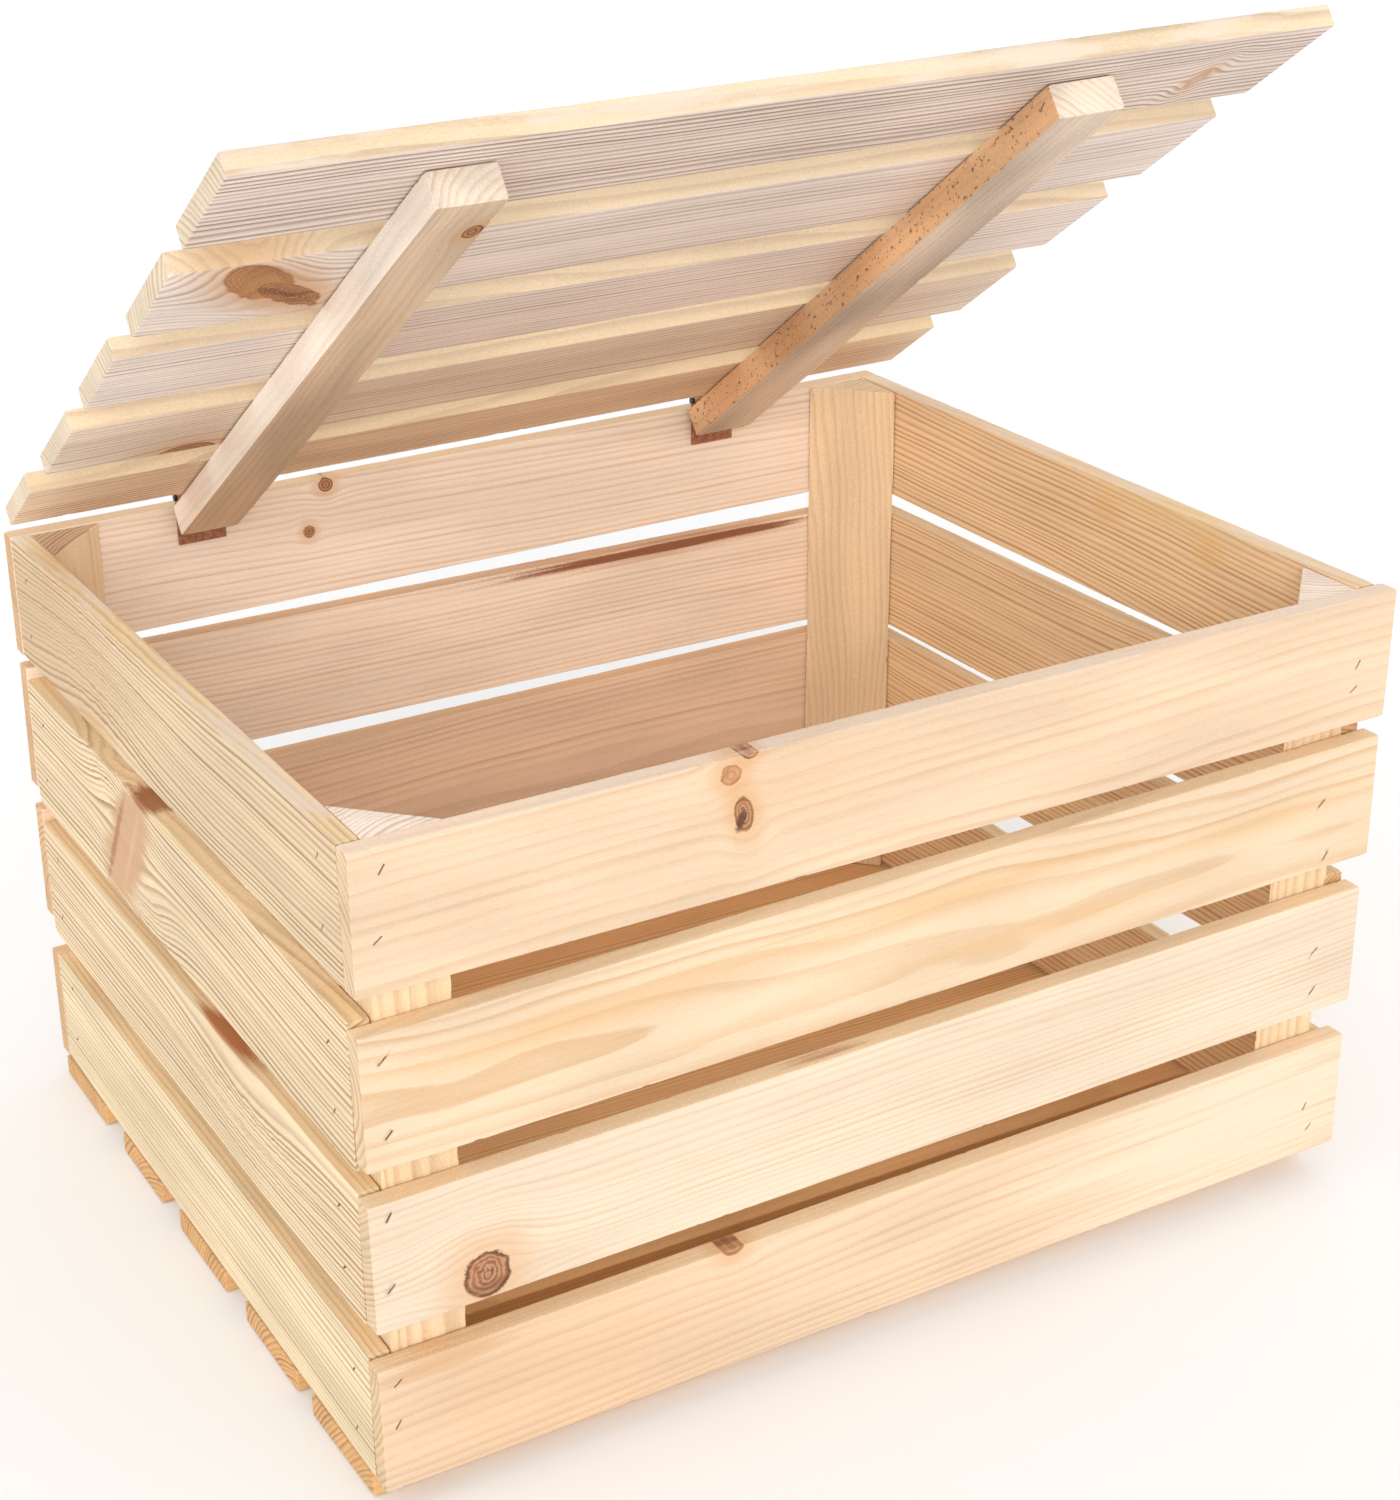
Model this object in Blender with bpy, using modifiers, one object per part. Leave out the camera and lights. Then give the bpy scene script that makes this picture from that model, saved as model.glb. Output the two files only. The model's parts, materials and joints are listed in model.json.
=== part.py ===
"""Slatted softwood crate with a hinged slatted lid.

Four walls of four horizontal slats are fastened to triangular corner posts, over a floor of five
boards. The lid is five slats on two battens, and it swings on two butt hinges whose crate leaves
lie on the inner face of the rear wall's top slat.

Frame: X runs along the front, left to right, Y to the rear and Z up. The origin is the centre of
the footprint, on the underside of the floor. Places on the crate are given from the left end,
from the front face and down from the rim.
"""
import math

import bmesh
import bpy
from mathutils import Matrix, Vector

# ---- driving dimensions, in metres ----
LENGTH = 0.500
DEPTH = 0.405
BOARD = 0.010
FLOOR_BOARD = 0.011
WALL_HEIGHT = 0.290
GAP = 0.0003
POST_LEG = 0.0345
POST_TOP = 0.0007
END_CLEARANCE = 0.0005

# ---- lid ----
OPEN_ANGLE = math.radians(35.4)
LID_LEFT = -0.0022
LID_LENGTH = 0.499
BATTEN_THICKNESS = 0.0153
BATTEN_FRONT = 0.0115
BATTEN_REAR = 0.3909

# ---- hinges ----
HINGE_WIDTH = 0.025
LEAF = 0.0012
LEAF_SPACE = 0.0007
KNUCKLE_RADIUS = 0.0026
KNUCKLE_CLEARANCE = 0.0004
BORE_RADIUS = 0.00135
PIN_RADIUS = 0.00105
PIN_HEAD_RADIUS = 0.0017
PIN_HEAD = 0.0007
AXIS_ABOVE_RIM = 0.005
CRATE_LEAF_DROP = 0.020
LID_LEAF_DROP = 0.0145
HINGE_CENTRES = {"left": 0.097, "right": 0.3925}
SCREW_SPREAD = 0.007
SCREW_DROP = 0.0085
CRATE_SCREW = 0.008
LID_SCREW = 0.014
SCREW_HEAD_RADIUS = 0.0021
SCREW_RADIUS = 0.0010
SCREW_POINT = 0.0015
SINK_ANGLE_SPREAD = 0.0004

SMOOTH_ANGLE = math.radians(35)

# ---- derived ----
RIM = FLOOR_BOARD + WALL_HEIGHT
INNER_REAR = DEPTH - BOARD
SIDE_RUN = DEPTH - 2 * (BOARD + GAP + END_CLEARANCE)
AXIS_BACK = INNER_REAR - GAP - LEAF - LEAF_SPACE / 2

# Each slat is its drop below the rim at its left (or front) end, the same at its other end, and
# its width. The crate is nailed up by eye, so few slats are quite level.
WALL_SLATS = {
    "front": [
        (0.0, 0.0, 0.0605),
        (0.0770, 0.0693, 0.0600),
        (0.1518, 0.1455, 0.0598),
        (0.2292, 0.2232, 0.0598),
    ],
    "rear": [
        (0.0, 0.0, 0.0615),
        (0.0680, 0.0743, 0.0645),
        (0.1450, 0.1458, 0.0610),
        (0.2280, 0.2275, 0.0600),
    ],
    "left": [
        (0.0, 0.0, 0.0611),
        (0.0751, 0.0740, 0.0664),
        (0.1510, 0.1518, 0.0620),
        (0.2280, 0.2275, 0.0605),
    ],
    "right": [
        (0.0, 0.0, 0.0595),
        (0.0658, 0.0712, 0.0663),
        (0.1420, 0.1450, 0.0620),
        (0.2270, 0.2262, 0.0605),
    ],
}
# How far each front slat reaches past the right wall's outer face.
FRONT_OVERHANG = (0.0030, 0.0024, 0.0012, 0.0006)
# Front edge at the left end and at the right end, and width of each floor board, from the front face.
FLOOR_BOARDS = [
    (0.0140, 0.0212, 0.0616),
    (0.0926, 0.0926, 0.0591),
    (0.1760, 0.1760, 0.0590),
    (0.2590, 0.2590, 0.0541),
    (0.3400, 0.3400, 0.0600),
]
# Front edge at the left end and at the right end, width and sideways shift of each lid slat, lid closed.
LID_SLATS = [
    (-0.0066, -0.0076, 0.0619, 0.0006),
    (0.0788, 0.0768, 0.0617, 0.0016),
    (0.1623, 0.1608, 0.0572, -0.0005),
    (0.2450, 0.2440, 0.0573, -0.0002),
    (0.3242, 0.3230, 0.0480, -0.0028),
]
# Left edge of each batten at its front end and at its rear end, and its width.
BATTENS = {"left": (0.0800, 0.0808, 0.0303), "right": (0.3606, 0.3743, 0.0327)}

# ---- colours: linear RGB ----
PINE_FRONT = (0.86, 0.66, 0.42)
PINE_SIDE = (0.78, 0.58, 0.33)
PINE_INSIDE = (0.74, 0.50, 0.31)
PINE_LID = (0.66, 0.51, 0.38)
PINE_POST = (0.77, 0.57, 0.36)
STEEL_DARK = (0.030, 0.030, 0.036)
STEEL_BRONZED = (0.27, 0.14, 0.075)

# Whether each wall runs along the front, the middle of its thickness, and its colour.
WALLS = {
    "front": (True, BOARD / 2, PINE_FRONT),
    "rear": (True, DEPTH - BOARD / 2, PINE_INSIDE),
    "left": (False, BOARD / 2, PINE_SIDE),
    "right": (False, LENGTH - BOARD / 2, PINE_SIDE),
}


def clear_scene():
    """Remove every object that is already in the scene."""
    for thing in list(bpy.data.objects):
        bpy.data.objects.remove(thing, do_unlink=True)


def new_collection(name):
    """Make a collection and link it to the scene."""
    collection = bpy.data.collections.new(name)
    bpy.context.scene.collection.children.link(collection)
    return collection


def make_material(name, colour, roughness, metallic):
    """Make a Principled BSDF material."""
    material = bpy.data.materials.new(name)
    material.use_nodes = True
    shader = material.node_tree.nodes["Principled BSDF"]
    shader.inputs["Base Color"].default_value = (*colour, 1.0)
    shader.inputs["Roughness"].default_value = roughness
    shader.inputs["Metallic"].default_value = metallic
    return material


def wood(name, colour):
    """Bare sawn pine."""
    return make_material(name + "_pine", colour, 0.75, 0.0)


def metal(name, colour):
    """Drawn or pressed steel."""
    return make_material(name + "_steel", colour, 0.38, 1.0)


def on_crate(along, back, drop):
    """World position of a point on the crate."""
    return Vector((along - LENGTH / 2, back - DEPTH / 2, RIM - drop))


def on_lid(along, back, height):
    """Position on the closed lid, height above the rim, measured from the lid's axis."""
    return Vector((along - LENGTH / 2, back - AXIS_BACK, height - AXIS_ABOVE_RIM))


def link_mesh(name, mesh, collection, location=(0, 0, 0), rotation=(0, 0, 0), parent=None):
    """Make an object of a mesh and place it."""
    thing = bpy.data.objects.new(name, mesh)
    thing.location = location
    thing.rotation_euler = rotation
    thing.parent = parent
    collection.objects.link(thing)
    return thing


def box_mesh(name, size):
    """A box centred on its origin."""
    mesh = bpy.data.meshes.new(name)
    shape = bmesh.new()
    bmesh.ops.create_cube(shape, size=1.0, matrix=Matrix.Diagonal((*size, 1.0)))
    shape.to_mesh(mesh)
    shape.free()
    return mesh


def shade_round(mesh):
    """Shade a round piece smooth, and keep its real edges sharp."""
    mesh.shade_smooth()
    mesh.set_sharp_from_angle(angle=SMOOTH_ANGLE)


def rod_mesh(name, radius, length, segments=20):
    """A cylinder along X, centred on its origin."""
    mesh = bpy.data.meshes.new(name)
    shape = bmesh.new()
    bmesh.ops.create_cone(shape, cap_ends=True, segments=segments, radius1=radius, radius2=radius,
                          depth=length, matrix=Matrix.Rotation(math.pi / 2, 4, "Y"))
    shape.to_mesh(mesh)
    shape.free()
    shade_round(mesh)
    return mesh


def outline_mesh(name, points, thickness):
    """A flat outline in local XY, made thick along local Z."""
    curve = bpy.data.curves.new(name, "CURVE")
    curve.dimensions = "2D"
    curve.fill_mode = "BOTH"
    curve.extrude = thickness / 2
    spline = curve.splines.new("POLY")
    spline.points.add(len(points) - 1)
    for point, place in zip(spline.points, points):
        point.co = (*place, 0.0, 1.0)
    spline.use_cyclic_u = True
    return mesh_from(curve, name, [])


def turned_mesh(name, profile, steps=14):
    """A solid turned about Z. The profile is (radius, height) from the top down."""
    chain = bpy.data.meshes.new(name + "_profile")
    points = [(radius, 0.0, height) for radius, height in profile]
    chain.from_pydata(points, [(i, i + 1) for i in range(len(points) - 1)], [])
    screw = {"type": "SCREW", "steps": steps, "render_steps": steps, "use_merge_vertices": True,
             "merge_threshold": 0.00001, "use_smooth_shade": False}
    mesh = mesh_from(chain, name, [screw])
    shade_round(mesh)
    return mesh


def mesh_from(data, name, modifiers):
    """The evaluated mesh of a curve or mesh with its modifiers, welded."""
    scratch = bpy.data.objects.new(name + "_scratch", data)
    bpy.context.scene.collection.objects.link(scratch)
    for settings in modifiers:
        modifier = scratch.modifiers.new(settings["type"].title(), settings["type"])
        for key, value in settings.items():
            if key != "type":
                setattr(modifier, key, value)
    graph = bpy.context.evaluated_depsgraph_get()
    mesh = bpy.data.meshes.new_from_object(scratch.evaluated_get(graph))
    mesh.name = name
    bpy.data.objects.remove(scratch, do_unlink=True)
    shape = bmesh.new()
    shape.from_mesh(mesh)
    bmesh.ops.remove_doubles(shape, verts=shape.verts, dist=0.00001)
    bmesh.ops.recalc_face_normals(shape, faces=shape.faces)
    shape.to_mesh(mesh)
    shape.free()
    return mesh


def copies_mesh(name, pattern, places):
    """One mesh holding a copy of the pattern at each place, as separate bodies."""
    mesh = bpy.data.meshes.new(name)
    shape = bmesh.new()
    for place in places:
        single = pattern.copy()
        single.transform(place)
        shape.from_mesh(single)
        bpy.data.meshes.remove(single)
    shape.to_mesh(mesh)
    shape.free()
    return mesh


def hide_cutter(cutter):
    """Show a cutter as wires only, and leave it out of renders."""
    cutter.hide_render = True
    cutter.display_type = "WIRE"


def apply_boolean(target, tool, operation="DIFFERENCE"):
    """Cut the target with the tool, or join the tool to it."""
    modifier = target.modifiers.new(operation.title() + "_" + tool.name, "BOOLEAN")
    modifier.operation = operation
    modifier.solver = "EXACT"
    modifier.object = tool


def facing(location, outward):
    """Matrix that moves the origin to a location and turns local Z outward there."""
    rotation = Vector(outward).to_track_quat("Z", "Y").to_matrix().to_4x4()
    return Matrix.Translation(location) @ rotation


def make_board(name, size, place, colour, parts, rotation=(0, 0, 0), parent=None):
    """One straight board of bare pine."""
    board = link_mesh(name, box_mesh(name, size), parts, place, rotation, parent)
    board.data.materials.append(wood(name, colour))
    return board


def make_wall(side, parts):
    """The four slats of one wall, top to bottom."""
    along_front, middle, colour = WALLS[side]
    run = LENGTH if along_front else SIDE_RUN
    slats = []
    for number, (drop_start, drop_end, width) in enumerate(WALL_SLATS[side], start=1):
        drop = (drop_start + drop_end + width) / 2
        rise = math.asin((drop_start - drop_end) / run)
        if along_front:
            overhang = FRONT_OVERHANG[number - 1] if side == "front" else 0
            size = (run + overhang, BOARD, width)
            place = on_crate((LENGTH + overhang) / 2, middle, drop)
            rotation = (0, -rise, 0)
        else:
            size = (BOARD, run, width)
            place = on_crate(middle, DEPTH / 2, drop)
            rotation = (rise, 0, 0)
        slats.append(make_board(f"{side}_slat_{number}", size, place, colour, parts, rotation))
    return slats


def make_posts(parts):
    """Four triangular posts, each with its right angle in a corner of the crate."""
    bottom = FLOOR_BOARD + GAP
    height = RIM - POST_TOP - bottom
    inset = BOARD + GAP
    columns = {"left": (inset, POST_LEG), "right": (LENGTH - inset, -POST_LEG)}
    rows = {"front": (inset, POST_LEG), "rear": (DEPTH - inset, -POST_LEG)}
    for row, (back, leg_y) in rows.items():
        for column, (along, leg_x) in columns.items():
            name = f"corner_post_{row}_{column}"
            mesh = outline_mesh(name, [(0, 0), (leg_x, 0), (0, leg_y)], height)
            post = link_mesh(name, mesh, parts, on_crate(along, back, POST_TOP + height / 2))
            post.data.materials.append(wood(name, PINE_POST))


def make_floor(parts):
    """Five boards that run the length of the crate, under the walls."""
    for number, (front_left, front_right, width) in enumerate(FLOOR_BOARDS, start=1):
        size = (LENGTH, width, FLOOR_BOARD)
        middle = (front_left + front_right + width) / 2
        place = on_crate(LENGTH / 2, middle, WALL_HEIGHT + FLOOR_BOARD / 2)
        turn = (0, 0, math.asin((front_right - front_left) / LENGTH))
        make_board(f"floor_board_{number}", size, place, PINE_SIDE, parts, turn)


def make_lid_slats(parts, axis):
    """Five slats, front to rear, with their undersides on the rim when the lid is closed."""
    for number, (front_left, front_right, width, shift) in enumerate(LID_SLATS, start=1):
        size = (LID_LENGTH, width, BOARD)
        along = LID_LEFT + shift + LID_LENGTH / 2
        place = on_lid(along, (front_left + front_right + width) / 2, GAP + BOARD / 2)
        turn = (0, 0, math.asin((front_right - front_left) / LID_LENGTH))
        make_board(f"lid_slat_{number}", size, place, PINE_LID, parts, turn, axis)


def make_battens(parts, axis):
    """Two battens under the lid slats, one of them a little askew."""
    length = BATTEN_REAR - BATTEN_FRONT
    middle = (BATTEN_FRONT + BATTEN_REAR) / 2
    battens = {}
    for side, (front_edge, rear_edge, width) in BATTENS.items():
        size = (width, length, BATTEN_THICKNESS)
        along = (front_edge + rear_edge + width) / 2
        place = on_lid(along, middle, -BATTEN_THICKNESS / 2)
        turn = (0, 0, -math.asin((rear_edge - front_edge) / length))
        battens[side] = make_board(f"lid_batten_{side}", size, place, PINE_LID, parts, turn, axis)
    return battens


def screw_mesh(length):
    """A countersunk screw, head up, its head's top at the origin."""
    profile = [
        (0.0, 0.0),
        (SCREW_HEAD_RADIUS, 0.0),
        (SCREW_RADIUS, -LEAF),
        (SCREW_RADIUS, SCREW_POINT - length),
        (0.0, -length),
    ]
    return turned_mesh(f"screw_{round(length * 1000)}_mm", profile)


def screw_hole_mesh(length):
    """The clearance for a screw: its outline, wider by the gap all over."""
    head = SCREW_HEAD_RADIUS + GAP
    shank = SCREW_RADIUS + GAP
    profile = [
        (0.0, GAP),
        (head + SINK_ANGLE_SPREAD, GAP),
        (head, 0.0),
        (shank, -LEAF),
        (shank, -length - GAP),
        (0.0, -length - GAP),
    ]
    return turned_mesh(f"screw_hole_{round(length * 1000)}_mm", profile)


def pin_mesh():
    """The hinge pin along Z, with a flat head past each end of the knuckle."""
    reach = HINGE_WIDTH / 2 + GAP
    tip = reach + PIN_HEAD
    profile = [
        (0.0, tip),
        (PIN_HEAD_RADIUS, tip),
        (PIN_HEAD_RADIUS, reach),
        (PIN_RADIUS, reach),
        (PIN_RADIUS, -reach),
        (PIN_HEAD_RADIUS, -reach),
        (PIN_HEAD_RADIUS, -tip),
        (0.0, -tip),
    ]
    return turned_mesh("hinge_pin", profile, steps=16)


def make_leaf(name, groups, drop, outer_knuckles, frame):
    """One hinge leaf: a plate up to the axis, notched, with knuckles and a bore along the axis.

    The frame gives the leaf's parent, the axis position, the plate's place behind or before the
    axis, and the material.
    """
    parts, cutters = groups
    parent, centre, offset, material = frame
    third = HINGE_WIDTH / 3
    outer = [-third, third]
    own = outer if outer_knuckles else [0.0]
    notched = [0.0] if outer_knuckles else outer
    plate_drop = drop + AXIS_ABOVE_RIM
    plate = box_mesh(name, (HINGE_WIDTH, LEAF, plate_drop))
    place = centre + Vector((0, offset, -plate_drop / 2))
    leaf = link_mesh(name, plate, parts, place, parent=parent)
    leaf.data.materials.append(material)
    notch_reach = KNUCKLE_RADIUS + KNUCKLE_CLEARANCE
    notch = box_mesh(name + "_notch", (third + 2 * GAP, 4 * LEAF, 2 * notch_reach))
    notches = copies_mesh(name + "_notches", notch, [Matrix.Translation((x, 0, 0)) for x in notched])
    barrel = rod_mesh(name + "_barrel", KNUCKLE_RADIUS, third - GAP)
    barrels = copies_mesh(name + "_barrels", barrel, [Matrix.Translation((x, 0, 0)) for x in own])
    bore = rod_mesh(name + "_bore", BORE_RADIUS, 1.5 * HINGE_WIDTH)
    steps = (("DIFFERENCE", notches), ("UNION", barrels), ("DIFFERENCE", bore))
    for operation, mesh in steps:
        tool = link_mesh(mesh.name, mesh, cutters, centre, parent=parent)
        hide_cutter(tool)
        apply_boolean(leaf, tool, operation)
    return leaf


def make_hinges(groups, axis, rear_slat, battens):
    """Two butt hinges with their pins and screws."""
    parts = groups[0]
    offset = LEAF / 2 + LEAF_SPACE / 2
    for side, along in HINGE_CENTRES.items():
        world_axis = on_crate(along, AXIS_BACK, -AXIS_ABOVE_RIM)
        name = f"hinge_crate_leaf_{side}"
        frame = (None, world_axis, offset, metal(name, STEEL_BRONZED))
        crate_leaf = make_leaf(name, groups, CRATE_LEAF_DROP, True, frame)
        lid_axis = on_lid(along, AXIS_BACK, AXIS_ABOVE_RIM)
        name = f"hinge_lid_leaf_{side}"
        frame = (axis, lid_axis, -offset, metal(name, STEEL_DARK))
        lid_leaf = make_leaf(name, groups, LID_LEAF_DROP, False, frame)
        name = f"hinge_pin_{side}"
        pin = link_mesh(name, pin_mesh(), parts, world_axis, (0, math.pi / 2, 0))
        pin.data.materials.append(metal(name, STEEL_DARK))
        for number, spread in enumerate((-SCREW_SPREAD, SCREW_SPREAD), start=1):
            place = on_crate(along + spread, AXIS_BACK + LEAF_SPACE / 2, SCREW_DROP)
            placing = (facing(place, (0, -1, 0)), CRATE_SCREW, None)
            make_screw(f"screw_crate_{side}_{number}", groups, placing, (crate_leaf, rear_slat))
            place = on_lid(along + spread, AXIS_BACK - LEAF_SPACE / 2, -SCREW_DROP)
            placing = (facing(place, (0, 1, 0)), LID_SCREW, axis)
            make_screw(f"screw_lid_{side}_{number}", groups, placing, (lid_leaf, battens[side]))


def make_screw(name, groups, placing, targets):
    """One screw, and the holes for it in what it passes through."""
    parts, cutters = groups
    matrix, length, parent = placing
    mesh = screw_mesh(length)
    mesh.transform(matrix)
    screw = link_mesh(name, mesh, parts, parent=parent)
    screw.data.materials.append(metal(name, STEEL_DARK))
    hole = screw_hole_mesh(length)
    hole.transform(matrix)
    cutter = link_mesh(name + "_hole", hole, cutters, parent=parent)
    hide_cutter(cutter)
    for target in targets:
        apply_boolean(target, cutter)


def main():
    """Build the crate."""
    clear_scene()
    parts = new_collection("shipping_crate")
    cutters = new_collection("cutters")
    groups = (parts, cutters)
    walls = {side: make_wall(side, parts) for side in WALL_SLATS}
    make_posts(parts)
    make_floor(parts)
    axis = bpy.data.objects.new("lid_axis", None)
    axis.location = on_crate(LENGTH / 2, AXIS_BACK, -AXIS_ABOVE_RIM)
    axis.rotation_euler = (-OPEN_ANGLE, 0, 0)
    parts.objects.link(axis)
    make_lid_slats(parts, axis)
    battens = make_battens(parts, axis)
    make_hinges(groups, axis, walls["rear"][0], battens)


main()
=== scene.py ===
import itertools
import json
import math
import random
from types import SimpleNamespace

import bmesh
import bpy
import numpy as np
from mathutils import Matrix, Vector


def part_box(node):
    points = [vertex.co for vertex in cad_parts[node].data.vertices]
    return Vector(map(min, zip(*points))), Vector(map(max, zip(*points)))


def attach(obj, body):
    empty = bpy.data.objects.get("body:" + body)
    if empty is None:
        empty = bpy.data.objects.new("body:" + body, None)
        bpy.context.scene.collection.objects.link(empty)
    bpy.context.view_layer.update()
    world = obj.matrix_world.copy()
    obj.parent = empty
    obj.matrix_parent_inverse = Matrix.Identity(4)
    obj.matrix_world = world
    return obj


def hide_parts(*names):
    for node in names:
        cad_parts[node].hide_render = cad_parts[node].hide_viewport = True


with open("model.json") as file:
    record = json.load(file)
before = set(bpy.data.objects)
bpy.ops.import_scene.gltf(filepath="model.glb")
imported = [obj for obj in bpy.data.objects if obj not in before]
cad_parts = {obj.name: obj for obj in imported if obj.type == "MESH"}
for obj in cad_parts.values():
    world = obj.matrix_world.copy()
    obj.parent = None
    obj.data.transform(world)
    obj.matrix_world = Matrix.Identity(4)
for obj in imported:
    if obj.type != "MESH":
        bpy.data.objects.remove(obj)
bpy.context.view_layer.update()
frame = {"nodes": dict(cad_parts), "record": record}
SCENE = bpy.context.scene
NODES = frame["nodes"]
MM = 0.001

# ---------------------------------------------------------------- small helpers


def srgb(code):
    """Linear RGBA of a hex colour."""
    parts = [int(code[i:i + 2], 16) / 255 for i in (0, 2, 4)]
    linear = [c / 12.92 if c <= 0.04045 else ((c + 0.055) / 1.055) ** 2.4 for c in parts]
    return (*linear, 1.0)


def value_noise(points, seed):
    """Smooth noise between -1 and 1 at an array of points."""
    cell = np.floor(points).astype(np.int64)
    part = points - cell
    part = part * part * (3 - 2 * part)
    total = np.zeros(points.shape[:-1])
    for step in itertools.product((0, 1), repeat=3):
        at = cell + np.array(step)
        code = at[..., 0] * 73856093 ^ at[..., 1] * 19349663 ^ at[..., 2] * 83492791 ^ seed * 2971215073
        code = (code & 0xFFFFFFFF) * 2654435761 & 0xFFFFFFFF
        code = (code ^ code >> 15) * 2246822519 & 0xFFFFFFFF
        level = (code ^ code >> 13 & 0xFFFF) % 65536 / 32767.5 - 1
        weight = np.prod(np.where(np.array(step) == 1, part, 1 - part), axis=-1)
        total += weight * level
    return total


class Tree:
    """Short calls for wiring a material's nodes."""

    def __init__(self, name):
        self.material = bpy.data.materials.new(name)
        self.material.use_nodes = True
        self.nodes = self.material.node_tree.nodes
        self.links = self.material.node_tree.links
        self.shader = self.nodes["Principled BSDF"]
        self.coordinates = self.nodes.new("ShaderNodeTexCoord")

    def feed(self, socket, value):
        if isinstance(value, bpy.types.NodeSocket):
            self.links.new(value, socket)
        else:
            socket.default_value = value

    def add(self, kind, inputs, **settings):
        node = self.nodes.new(kind)
        for key, value in settings.items():
            setattr(node, key, value)
        for key, value in inputs.items():
            self.feed(node.inputs[key], value)
        return node

    def math(self, operation, *values):
        return self.add("ShaderNodeMath", dict(enumerate(values)), operation=operation).outputs[0]

    def vector(self, operation, *values):
        node = self.add("ShaderNodeVectorMath", dict(enumerate(values)), operation=operation)
        return node.outputs["Value" if operation in ("LENGTH", "DOT_PRODUCT") else "Vector"]

    def total(self, *values):
        result = values[0]
        for value in values[1:]:
            result = self.math("ADD", result, value)
        return result

    def times(self, *values):
        result = values[0]
        for value in values[1:]:
            result = self.math("MULTIPLY", result, value)
        return result

    def smooth(self, value, low, high, to_low=0.0, to_high=1.0):
        inputs = {0: value, 1: low, 2: high, 3: to_low, 4: to_high}
        node = self.add("ShaderNodeMapRange", inputs, interpolation_type="SMOOTHSTEP")
        return node.outputs[0]

    def centred(self, noise):
        """A noise between 0 and 1 moved to lie about 0."""
        return self.math("SUBTRACT", noise, 0.5)

    def length(self, x, y):
        return self.math("SQRT", self.total(self.times(x, x), self.times(y, y)))

    def split(self, vector):
        return self.add("ShaderNodeSeparateXYZ", {0: vector}).outputs

    def join(self, x, y, z):
        return self.add("ShaderNodeCombineXYZ", {0: x, 1: y, 2: z}).outputs[0]

    def stretch(self, vector, x, y, z, shift=0.0):
        """The vector scaled on each axis and moved by a seed."""
        scaled = self.vector("MULTIPLY", vector, (x, y, z))
        return self.vector("ADD", scaled, (shift, shift * 0.37, shift * 0.71))

    def noise(self, vector, detail=2.0, roughness=0.5):
        inputs = {"Vector": vector, "Scale": 1.0, "Detail": detail, "Roughness": roughness}
        return self.add("ShaderNodeTexNoise", inputs, noise_dimensions="3D").outputs[0]

    def mix(self, share, first, second, blend="MIX"):
        node = self.add("ShaderNodeMix", {}, data_type="RGBA", blend_type=blend)
        for key, value in ((0, share), (6, first), (7, second)):
            self.feed(node.inputs[key], value)
        return node.outputs[2]

    def place(self):
        """Where a point is in its object, in mm."""
        node = self.add("ShaderNodeVectorMath", {0: self.coordinates.outputs["Object"]},
                        operation="SCALE")
        node.inputs["Scale"].default_value = 1 / MM
        return node.outputs["Vector"]

    def grain(self, name, place, seed):
        """One of the noises in NOISES at a place on a board."""
        along, across, shift, detail, roughness = NOISES[name]
        stretched = self.stretch(place, along, across, across, seed + shift)
        return self.noise(stretched, detail, roughness)


# ---------------------------------------------------------------- pine

# Noises over a board: scale along it, scale across it, seed shift, detail and roughness.
NOISES = {
    "cloud": (0.11, 0.17, 61.0, 3.0, 0.6),
    "wide": (0.006, 0.028, 0.0, 2.0, 0.5),
    "slow": (0.004, 0.0, 31.7, 1.0, 0.5),
    "fine": (0.02, 0.4, 3.1, 2.0, 0.5),
    "fibre": (0.035, 1.9, 11.0, 3.0, 0.65),
    "thread": (0.012, 0.42, 5.0, 2.0, 0.55),
    "patch": (0.009, 0.035, 17.0, 1.0, 0.5),
    "pore": (0.16, 3.2, 23.0, 1.0, 0.5),
    "rough": (0.9, 1.6, 41.0, 3.0, 0.65),
    "fuzz": (0.55, 2.4, 83.0, 2.0, 0.6),
    "weather": (0.022, 0.12, 91.0, 3.0, 0.6),
    "spot": (0.30, 0.45, 71.0, 2.0, 0.7),
    "saw": (1.3, 0.35, 53.0, 2.0, 0.5),
}

# Colours that don't depend on the board.
KNOT_HALO = "D6A067"
KNOT_PALE = "D8AE88"
KNOT_WARM = "C08658"
KNOT_THREAD = "6B3A24"
KNOT_OUTLINE = "4A2A1A"
KNOT_CRACK = "3A2216"
WORN = "E3D3C3"
SPECK = "7A4523"

# How the grain bends round a knot: ragged outline, reach and strength of the bend.
KNOT_RAGGED = 0.5
BEND_REACH = 1.6
BEND_STRENGTH = 0.85

# Growth rings: sway and ripple for each unit of wander, other unevenness in mm or in rings, the
# weakest year, and where in a year the late wood sets in and ends.
SWAY = 5
SWAY_DEPTH = 0.6
RIPPLE = 2
JITTER = 0.3
UNEVEN_PACE = 0.23
UNEVEN_RINGS = 2.2
WEAKEST_YEAR = 0.35
LATE_START = (0.30, 0.86)
LATE_END = (0.92, 1.0, 1.0, 0.0)

# Which way a surface faces for end grain and for a sawn edge, and how sawn an edge is.
FACING = (0.55, 0.80)
EDGE_SAWN = 0.8
EDGE_TINT = 0.85
EDGE_RINGS = 0.4
END_RINGS = 0.8
THREAD_SHADE = 2.2
FIBRE_SHADE = 2.4

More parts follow.
